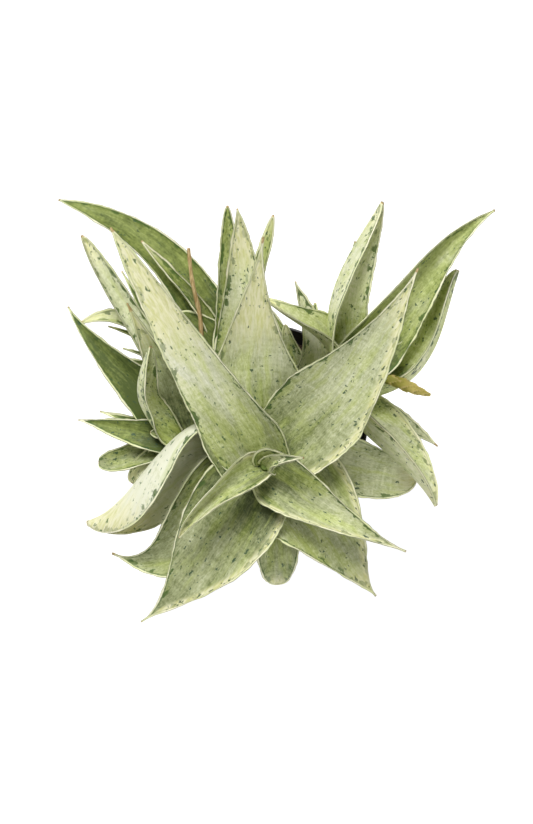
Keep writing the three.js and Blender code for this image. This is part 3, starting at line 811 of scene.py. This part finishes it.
# The main rosette: the largest and palest leaves, youngest first.
# Three long ones stand up behind, the broad ones droop to the front, and two fold up at the left.
# All are seated round the main stem, the older ones lower.
main_leaves = [
    dict(seat=45.5, tip=(19, -40, 150), width=9, taper=1.1, fold=44, arch=(2, 3), sway=(3, 2), green=0,
         silver=0),
    dict(seat=44, tip=(18, -38, 145), width=15, shoulder=1.2, taper=1.15, fold=40, arch=(2, 6),
         sway=(6, 0), green=0.4, silver=0.3),
    dict(seat=42, tip=(-40, -69, 117), width=22, belly=0.25, shoulder=1.3, taper=0.75, fold=64,
         arch=(6, 7), sway=(-6, -7), roll=(26, -10, 4), green=0.35, bands=(2, 4)),
    dict(seat=39.5, tip=(69, -72, 104), width=30, belly=0.15, taper=1.5, fold=33, arch=(6, 7),
         sway=(-5, -4), roll=(26, -7, -2), green=0.4, silver=0.55, bands=(0, 3)),
    dict(seat=37, tip=(-69, 51, 207), width=41, belly=0.15, shoulder=0.8, taper=0.8, fold=11,
         arch=(2, -1), sway=(2, 1), roll=(-27, -23, 4), green=0.15, silver=0.4, cream=0.38, brown=2.5),
    dict(seat=34, tip=(71, 36, 195), width=46, belly=0.35, shoulder=1.1, taper=1.3, fold=14,
         arch=(-6, 0), sway=(-7, -9), roll=(-14, 4, 0), green=0.35, silver=0.75,
         cream=0.65, bands=(0, 5), brown=2),
    dict(seat=31.5, tip=(-60, -99, 73), width=47, belly=0.25, shoulder=2, taper=1.85, fold=12,
         arch=(11, 7), sway=(2, 11), roll=(-4, -1, 2), green=0.6, flecks=0.6, silver=0.75, cream=0.85,
         bands=(4, 0)),
    dict(seat=29, tip=(0, 50, 197), width=62, belly=0.25, shoulder=1.1, taper=1.55, fold=17,
         arch=(-10, -7), sway=(8, 5), roll=(7, 3, -6), green=0.35, flecks=0.4, silver=0.75, cream=0.4,
         brown=2.5),
    # Leaf 9's green, below 0, is partly painted light: the whole leaf is made paler to lighten its folded
    # inner half, which lies in shade.
    dict(seat=19.5, tip=(-86, -55, 91), width=55, belly=0.25, shoulder=3.4, taper=0.9, fold=61,
         curl=26, arch=(3, 6), sway=(-43, 3), roll=(16, -38, -87), green=-0.05, silver=0.9, cream=0.6),
    dict(seat=27, tip=(56, -85, 69), width=54, shoulder=1.6, taper=1.5, fold=22, arch=(7, 10),
         sway=(11, 0), roll=(10, 0, 7), green=0.45, flecks=0.4, cream=0.65, bands=(5, 0)),
    dict(seat=19.5, tip=(-75, -65, 76), width=42, shoulder=2.7, taper=2.05, fold=22, curl=14,
         arch=(14, 14), sway=(-8, 36), roll=(-1, -7, -11), green=0.55, flecks=0.3, silver=0.6,
         cream=0.8, brown=2),
    dict(seat=21, tip=(77, -24, 76), width=31, shoulder=2.2, taper=0.55, fold=15, arch=(13, 18),
         sway=(14, -8), roll=(0, -5, 3), green=0.4, flecks=0.2, silver=0.8, cream=0.7),
    dict(seat=18, tip=(7, -76, 57), width=26, shoulder=1.8, taper=0.7, fold=14, arch=(23, 28),
         sway=(5, 1), roll=(1, -4, -2), green=0.6, flecks=0.3, silver=0.6, cream=0.7),
]
dress_rosette("main", "pale_leaf", main_leaves)

# The right offset: a younger, greener plant with folded leaves that show their pale, banded undersides.
# They are the same fleshy blades, narrower and seated round the right stem.
right_leaves = [
    dict(seat=33, tip=(58, 85, 163), width=34, shoulder=2.1, taper=0.9, fold=56, curl=6,
         arch=(-7, -10), sway=(22, 5), roll=(-5, 35, 62), green=0.2, flecks=0.9, silver=0.3),
    dict(seat=29, tip=(113, 87, 151), width=35, shoulder=1.5, taper=1.15, fold=37, curl=14,
         arch=(3, 7), sway=(0, 12), roll=(12, 25, 16), green=0.6, flecks=0.6, silver=0.3, cream=0.8),
    dict(seat=26, tip=(1, 43, 146), width=33, belly=0.25, shoulder=0.9, taper=0.85, fold=38, curl=7,
         arch=(9, 13), sway=(-12, 6), roll=(5, 19, -3), green=0.35, flecks=0.3, silver=0.2),
    dict(seat=22, tip=(86, -44, 89), width=40, shoulder=2.1, taper=0.95, fold=45, curl=7, arch=(7, 16),
         sway=(-16, -4), roll=(-30, -30, -15), green=0.3, flecks=0.7, silver=0.3, bands=(3, 2)),
    dict(seat=19, tip=(96, 67, 125), width=43, shoulder=0.8, taper=0.6, fold=64, curl=12, arch=(3, 4),
         sway=(-37, -12), roll=(-2, -34, -53), green=0.4, flecks=0.7, silver=0.2, cream=0.85),
    dict(seat=16, tip=(45, 73, 145), width=12, taper=1.3, fold=28, arch=(-2, -2), sway=(2, 2),
         green=0.75),
    dict(seat=14, tip=(88, -10, 80), width=18, taper=1.1, fold=20, arch=(9, 10), sway=(-4, -3),
         green=0.3, flecks=0.2, silver=1, brown=3),
    dict(seat=12, tip=(80, 28, 110), width=26, taper=1.1, fold=22, arch=(3, 4), sway=(-6, -5),
         green=0.65),
    dict(seat=11, tip=(69, -26, 99), width=11, taper=1, fold=34, arch=(6, 7), sway=(-3, -4),
         green=0.5),
]
dress_rosette("right", "green_leaf", right_leaves)

# The back offset: long deep green leaves with a pale and stiff one among them.
# They are the same fleshy blades, seated round the back stem.
back_leaves = [
    dict(seat=34, tip=(-12, 74, 179), width=21, belly=0.25, shoulder=2, taper=0.95, fold=19,
         arch=(-4, -4), sway=(-10, -5), roll=(-7, 2, 14), green=0.2, flecks=0.9, cream=0.5),
    dict(seat=31, tip=(-17, 82, 166), width=14, shoulder=1.5, taper=0.5, fold=22, arch=(-4, -4),
         sway=(-2, -1), green=0.6, flecks=1, silver=0.2, cream=1, brown=0.8),
    dict(seat=29, tip=(5, 80, 160), width=12, shoulder=1.5, taper=0.55, fold=27, arch=(-3, -5),
         sway=(3, -2), roll=(1, -5, 3), green=0.55, flecks=0.6, silver=0.3),
    dict(seat=27, tip=(-49, 41, 120), width=36, shoulder=1.3, taper=0.5, fold=23, arch=(5, 6),
         sway=(-1, -3), roll=(1, 0, -3), green=0.95, silver=0.1),
    dict(seat=17, tip=(-59, 72, 148), width=9, shoulder=2.2, taper=0.7, fold=39, arch=(4, 4),
         sway=(-14, -4), green=0.7, silver=0.2),
    dict(seat=20, tip=(-101, 98, 140), width=25, shoulder=1.7, taper=0.85, fold=20, arch=(9, 12),
         sway=(-23, -22), roll=(4, 4, -5), green=0.8, flecks=0.45, silver=0, cream=1, brown=1.2),
    dict(seat=12, tip=(-91, 43, 113), width=16, shoulder=1.5, taper=0.6, fold=33, arch=(11, 24),
         sway=(17, -21), roll=(-1, -5, 7), green=0.25, flecks=0.1, silver=0, brown=2),
]
dress_rosette("back", "green_leaf", back_leaves)

# The left offset: a mixed tuft, with two short blunt leaves below and a tiny rounded one in its middle.
# They are the same fleshy blades, seated round the left stem.
left_leaves = [
    dict(seat=30, tip=(-53, 15, 152), width=20, belly=0.3, shoulder=3.1, taper=0.65, fold=64, curl=15,
         arch=(-4, 4), sway=(22, 11), roll=(-30, 72, 55), green=0.35, flecks=1, silver=0.3, cream=1),
    dict(seat=27, tip=(-65, 38, 150), width=22, shoulder=1.2, taper=1.1, fold=22, arch=(-4, -4),
         sway=(-4, -1), green=0.5, flecks=0.4, silver=0.8, cream=0.55, brown=5),
    dict(seat=26, tip=(-55, -14, 112), width=7, shoulder=2.4, taper=0.5, fold=20, arch=(1, 1),
         green=0.6, flecks=0.1, cream=1),
    dict(seat=23, tip=(-91, -5, 105), width=18, shoulder=1.3, taper=1.1, fold=24, arch=(5, 6),
         sway=(4, 0), green=0.85, flecks=0.6, silver=0.2, cream=0.95),
    dict(seat=21, tip=(-88, 74, 150), width=15, belly=0.25, shoulder=2.7, taper=0.5, fold=42,
         arch=(-4, -3), sway=(-13, 2), roll=(6, 12, 44), green=0.2, flecks=0.7, silver=0.8),
    dict(seat=18, tip=(-96, 47, 125), width=29, shoulder=1.1, taper=1.1, fold=24, arch=(3, 5),
         sway=(-4, 6), green=0.95, flecks=0.4, silver=0, cream=1, brown=0.8),
    dict(seat=16, tip=(-82, -21, 87), width=15, shoulder=3.2, taper=0.5, fold=30, arch=(7, 10),
         sway=(1, 6), roll=(1, 4, -5), green=0.6, flecks=0.9, cream=1),
    dict(seat=14, tip=(-65, -32, 87), width=11, belly=0.25, shoulder=3.4, taper=0.5, fold=41,
         arch=(4, 12), sway=(-2, -4), roll=(2, 5, -5), green=0, flecks=1, silver=0.3),
    dict(seat=11, tip=(-81, 2, 98), width=10, taper=1.1, fold=26, arch=(3, 3), green=0.7, flecks=0.8),
]
dress_rosette("left", "green_leaf", left_leaves)

# The two pups: small young plants of the same kind, each a short stem with four leaves that grew with it.
# The leaves are joined into one piece, which stands for the whole pup, and the stem is set into them.
pup_leaves = {
    "back_pup": [
        dict(seat=14, tip=(11, 40, 119), width=9, belly=0.25, shoulder=2.7, taper=0.5, fold=30,
             arch=(-1, 1), sway=(3, 4), roll=(2, -15, -34), green=0.45, flecks=1),
        # This leaf's green of 0 is partly painted light: it is paler than its own grey-green, to make up for
        # the shade that the leaves above cast on it.
        dict(seat=12, tip=(16, 56, 135), width=21, shoulder=1.5, taper=1.15, fold=24, arch=(5, 2),
             sway=(-8, -2), roll=(6, 6, -1), green=0, flecks=1, silver=0.6, cream=1),
        dict(seat=10, tip=(3, 50, 118), width=9, taper=1.1, fold=26, arch=(3, 4), green=0.55),
        dict(seat=9, tip=(26, 53, 116), width=6, shoulder=2.2, taper=0.5, fold=20, arch=(2, 3), green=0.85,
             cream=1),
    ],
    "left_pup": [
        dict(seat=16, tip=(-70, 66, 125), width=9, taper=1.1, fold=30, arch=(1, 2), green=0.95, cream=1),
        dict(seat=14, tip=(-77, 42, 112), width=8, taper=1.1, fold=30, arch=(3, 4), sway=(-3, -3),
             green=0.85, cream=1),
        dict(seat=12, tip=(-70, 33, 105), width=7, taper=1.1, fold=30, arch=(2, 3), green=0.85, cream=1),
        dict(seat=10, tip=(-73, 28, 106), width=9, taper=1.1, fold=30, arch=(2, 3), sway=(3, 3), green=0.9,
             cream=1),
    ],
}
for pup_name, leaves in pup_leaves.items():
    rosette = ROSETTES[pup_name]
    place = rosette_frame(rosette)
    pup_parts = [grown_leaf(f"{pup_name}_part_{i}", place, leaf) for i, leaf in enumerate(leaves)]
    pup = joined(pup_name + "_plant", pup_parts)
    finish_piece(pup, waxy_leaf, "green_leaf", pup_name)
    stalk = ringed_stem(pup_name + "_stalk", rosette)
    finish_piece(stalk, stem_bark, "stem")

for template in (broad_blade, slim_blade):
    bpy.data.objects.remove(template)


# The dry flower stalk: last year's, bleached, ridged and thin, with the stubs of its bracts.
# Like the shoot in bud, it is drawn out ring by ring along its bent line.
def drawn_shoot(name, path, sides):
    """A round shoot through rows of (x, y, z, radius), from a disc at the first one."""
    deselect_all()
    points = [Vector(row[:3]) * MM for row in path]
    last = len(path) - 1
    ways = [(points[min(i + 1, last)] - points[max(i - 1, 0)]).normalized() for i in range(len(path))]
    bpy.ops.mesh.primitive_circle_add(
        vertices=sides,
        radius=path[0][3] * MM,
        fill_type="NGON",
        location=points[0],
        rotation=ways[0].to_track_quat("Z", "Y").to_euler(),
    )
    made = bpy.context.object
    made.name = made.data.name = name
    bpy.ops.object.transform_apply()
    bpy.ops.object.mode_set(mode="EDIT")
    bpy.ops.mesh.select_all(action="SELECT")
    for i in range(1, len(path)):
        bpy.ops.mesh.extrude_region_move(TRANSFORM_OT_translate={"value": points[i] - points[i - 1]})
        mesh = bpy.context.edit_object.data
        turn = ways[i - 1].rotation_difference(ways[i]).to_matrix().to_4x4()
        grown = path[i][3] / path[i - 1][3]
        there = Matrix.Translation(points[i])
        bent = there @ turn @ Matrix.Scale(grown, 4) @ there.inverted()
        shape = bmesh.from_edit_mesh(mesh)
        for vertex in shape.verts:
            if vertex.select:
                vertex.co = bent @ vertex.co
        bmesh.update_edit_mesh(mesh)
    bpy.ops.mesh.select_all(action="SELECT")
    bpy.ops.mesh.normals_make_consistent(inside=False)
    bpy.ops.object.mode_set(mode="OBJECT")
    smooth(made, degrees=70)
    return made


def eased_path(rows, steps):
    """More rows between the given ones, on a smooth line through them."""
    rows = np.array(rows, float)
    padded = np.vstack([2 * rows[0] - rows[1], rows, 2 * rows[-1] - rows[-2]])
    eased = []
    for a, b, c, d in zip(padded, padded[1:], padded[2:], padded[3:]):
        for t in np.arange(steps) / steps:
            bend = (2 * a - 5 * b + 4 * c - d) * t**2
            turn = (3 * b - a - 3 * c + d) * t**3
            eased.append(0.5 * (2 * b + (c - a) * t + bend + turn))
    return [*eased, rows[-1]]


STALK_PATH = [(-30, 30, 116, 1.1), (-31, 42, 126, 1.1), (-34.5, 55, 139, 1), (-36, 67, 150, 0.9)]
STUB_EVERY = 4       # rows from one bract stub to the next
STUB_SWELL = 1.12
STALK_WAIST = 0.94
stalk_rows = eased_path(STALK_PATH, 6)
for i, row in enumerate(stalk_rows):
    row[3] *= STUB_SWELL if i % STUB_EVERY == 0 else STALK_WAIST
dry_stalk = drawn_shoot("dry_flower_stalk", stalk_rows, sides=14)
straw = Finish("bleached_straw", roughness=0.85, gloss=0.2)
on_stalk = straw.node("TexCoord", {}, {})["Object"]
fibres = straw.noise(on_stalk, (1800, 260, 260), detail=4)
straw.put("Base Color", straw.mix(fibres.rise(0.35, 0.7), linear("A88A5C"), linear("D3BB8C")))
straw.bump(fibres, 0.3 * MM, 0.8)
finish_piece(dry_stalk, straw.material, "dry_stalk", "dry_stalk")

# The shoot in bud: a soft young spike, wrapped in overlapping papery bracts, green below and ochre above.
# It grew out between the right leaves, and is drawn out like the stalk and then pushed out bract by bract.
BUD_PATH = [
    (50, 14, 116, 1.6),
    (58, 10, 123, 2),
    (64, 7.5, 126, 2.6),
    (70, 5.5, 124.5, 2.8),
    (76, 4, 121.5, 2),
    (81.5, 3.5, 117.5, 0.8),
]
BRACTS = 6
BRACT_EDGE = 0.32    # how far a bract's free edge stands out, as a share of the spike's radius
BRACT_FOOT = 0.84    # where a bract's foot lies, as a share of the spike's radius
BRACT_LOBES = 1.5    # half the number of bract points round the spike
BRACT_POINT = 0.8    # how far the points reach up, as a share of a bract's height
BRACT_TURN = 0.6
BUD_COLOURS = (50, 82)    # from green at the first of these places to ochre at the second, along X in mm
bud_rows = eased_path(BUD_PATH, 14)
bud = drawn_shoot("bud_spike", bud_rows, sides=24)
bud_points = np.array([vertex.co for vertex in bud.data.vertices])
bud_middles = np.array(bud_rows)[:, :3] * MM
nearest = np.argmin(np.linalg.norm(bud_points[:, None] - bud_middles, axis=2), axis=1)
outward = bud_points - bud_middles[nearest]
around = np.arctan2(outward[:, 2], outward[:, 1])
points_up = BRACT_POINT * np.abs(np.sin(BRACT_LOBES * around + BRACT_TURN))
bract_run = (nearest / len(bud_rows) * BRACTS + points_up) % 1
bud_points = bud_middles[nearest] + outward * (BRACT_FOOT + BRACT_EDGE * bract_run)[:, None]
bud.data.vertices.foreach_set("co", bud_points.ravel())
bud.data.attributes.new("bract", "FLOAT", "POINT").data.foreach_set("value", bract_run)
bud_skin = Finish("ochre_bracts", roughness=0.6, gloss=0.3)
on_bud = bud_skin.node("TexCoord", {}, {})["Object"]
bud_x = bud_skin.node("SeparateXYZ", {}, {"Vector": on_bud})["X"]
veins = bud_skin.noise(on_bud, (250, 1500, 1500), detail=3)
bud_stages = [
    (0.0, linear("66752F")),
    (0.3, linear("8C8A3A")),
    (0.55, linear("A8A048")),
    (0.8, linear("CABA66")),
    (1.0, linear("B5A652")),
]
bud_place = bud_x.rise(*(place * MM for place in BUD_COLOURS)) + 0.12 * (veins - 0.5)
bud_colour = bud_skin.node("ValToRGB", {"stops": bud_stages}, {"Fac": bud_place})["Color"]
bud_colour = bud_skin.mix(veins.rise(0.5, 0.8) * 0.4, bud_colour, linear("8C7C30"))
to_edge = bud_skin.node("Attribute", {"attribute_name": "bract"}, {})["Fac"]
bud_colour = bud_skin.mix(to_edge.fall(0.0, 0.25) * 0.55, bud_colour, linear("6A6424"))
bud_colour = bud_skin.mix(to_edge.rise(0.6, 0.95) * 0.6, bud_colour, linear("DCC585"))
bud_skin.put("Base Color", bud_colour)
bud_skin.bump(veins, 0.3 * MM, 0.6)
finish_piece(bud, bud_skin.material, "bud", "bud_shoot")

# The studio: a pale floor that runs past the view, soft light from the upper left, and the camera that looks
# down on the plant from the front.
ELEVATION = 70
TARGET = Vector((1.75, 3.5, 93)) * MM
DISTANCE = 1.0
LENS = 87.4
FLOOR_SIZE = 16
FLOOR_GREY = 0.35
FLOOR_GLOW = 0.97
ROOM_LIGHT = 0.07

deselect_all()
bpy.ops.mesh.primitive_plane_add(size=FLOOR_SIZE, location=(0, 0, 0))
floor = bpy.context.object
floor.name = "studio_floor"
pale_floor = Finish("pale_floor", roughness=0.9, gloss=0.1)
pale_floor.put("Base Color", (FLOOR_GREY, FLOOR_GREY, FLOOR_GREY, 1))
pale_floor.put("Emission Color", linear("FFFFFF"))
pale_floor.put("Emission Strength", FLOOR_GLOW)
floor.data.materials.append(pale_floor.material)

world = bpy.data.worlds.new("soft_room")
world.use_nodes = True
room = world.node_tree.nodes["Background"]
room.inputs["Color"].default_value = (1, 1, 1, 1)
room.inputs["Strength"].default_value = ROOM_LIGHT
bpy.context.scene.world = world


def soft_light(name, place, size, power):
    light = bpy.data.lights.new(name, "AREA")
    light.shape = "DISK"
    light.size = size
    light.energy = power
    lamp = bpy.data.objects.new(name, light)
    bpy.context.collection.objects.link(lamp)
    lamp.location = place
    lamp.rotation_mode = "QUATERNION"
    lamp.rotation_quaternion = (TARGET - Vector(place)).to_track_quat("-Z", "Y")


soft_light("key_light", (-0.35, 0.45, 1.8), size=0.9, power=37)
soft_light("fill_light", (0.9, -0.9, 1.2), size=1.2, power=8)

camera = bpy.data.objects.new("camera", bpy.data.cameras.new("camera"))
bpy.context.collection.objects.link(camera)
camera.data.lens = LENS
tilt = math.radians(ELEVATION)
camera.location = TARGET - DISTANCE * Vector((0, math.cos(tilt), -math.sin(tilt)))
camera.rotation_euler = (math.radians(90 - ELEVATION), 0, 0)
bpy.context.scene.camera = camera
bpy.context.scene.view_settings.view_transform = "Standard"
